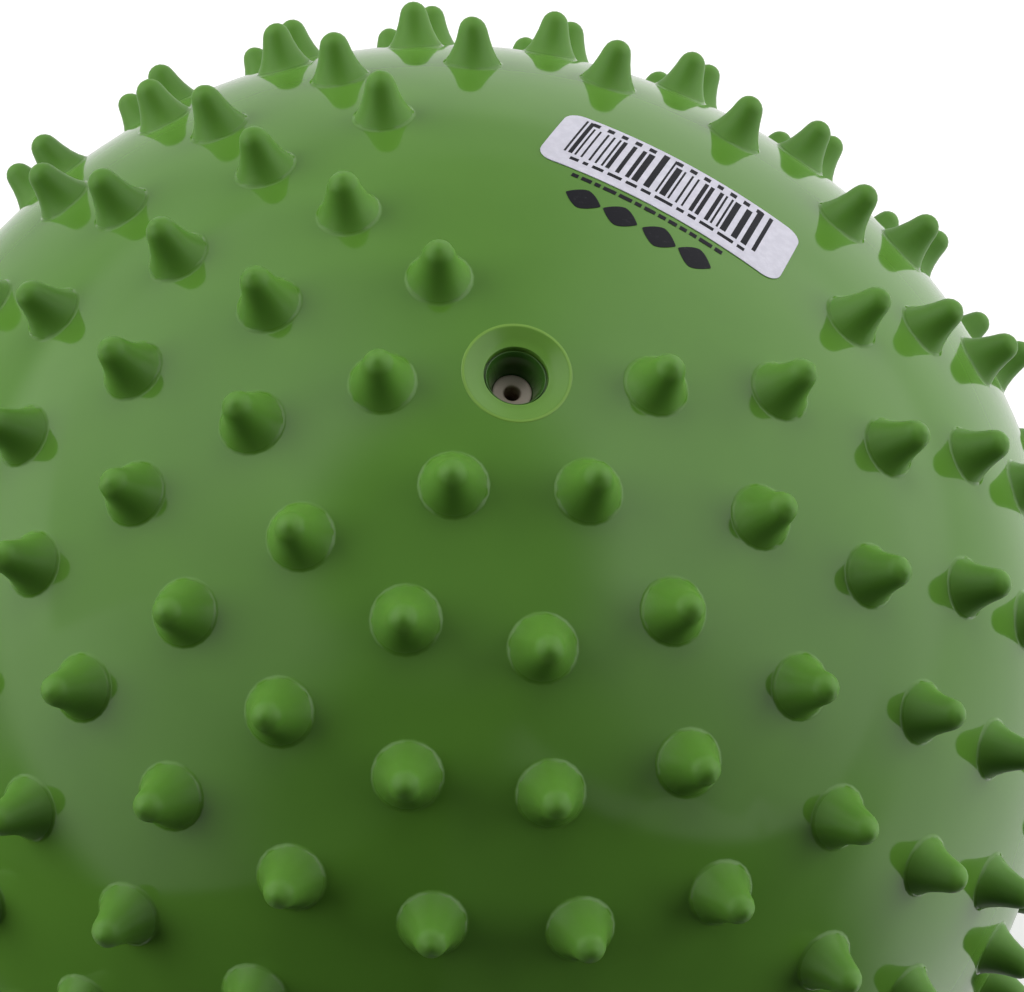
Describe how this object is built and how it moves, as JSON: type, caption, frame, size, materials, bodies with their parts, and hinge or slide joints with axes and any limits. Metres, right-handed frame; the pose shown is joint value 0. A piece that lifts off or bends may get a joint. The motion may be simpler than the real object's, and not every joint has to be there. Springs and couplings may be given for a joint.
{
  "type": "massage ball",
  "caption": "Hollow spiked massage ball with a bonded valve seat, a push-in needle plug with its seal, and a sticker on a bare patch.",
  "frame": {"origin": "centre of the ball", "axes": "+Z out of the ball along the valve axis; the sticker lies between +X and +Y; -Y is the side the picture looks from"},
  "size_m": [0.2284, 0.228, 0.2254],
  "materials": {
    "ball_skin": "glossy soft PVC, satin on the spikes",
    "seat_pvc": "semi-gloss soft PVC",
    "plug_plastic": "off-white, satin",
    "seal_rubber": "matte",
    "label_film": "satin coated film with plain black bars"
  },
  "bodies": {
    "ball": {"ball_shell": "ball_skin", "valve_seat": "seat_pvc", "product_label": "label_film"},
    "plug": {"valve_plug": "plug_plastic", "needle_seal": "seal_rubber"}
  },
  "joints": [
    {"name": "plug_pull", "type": "slide", "parent": "ball", "child": "plug", "axis": [0, 0, 1], "range_m": [0, 0.017]}
  ]
}
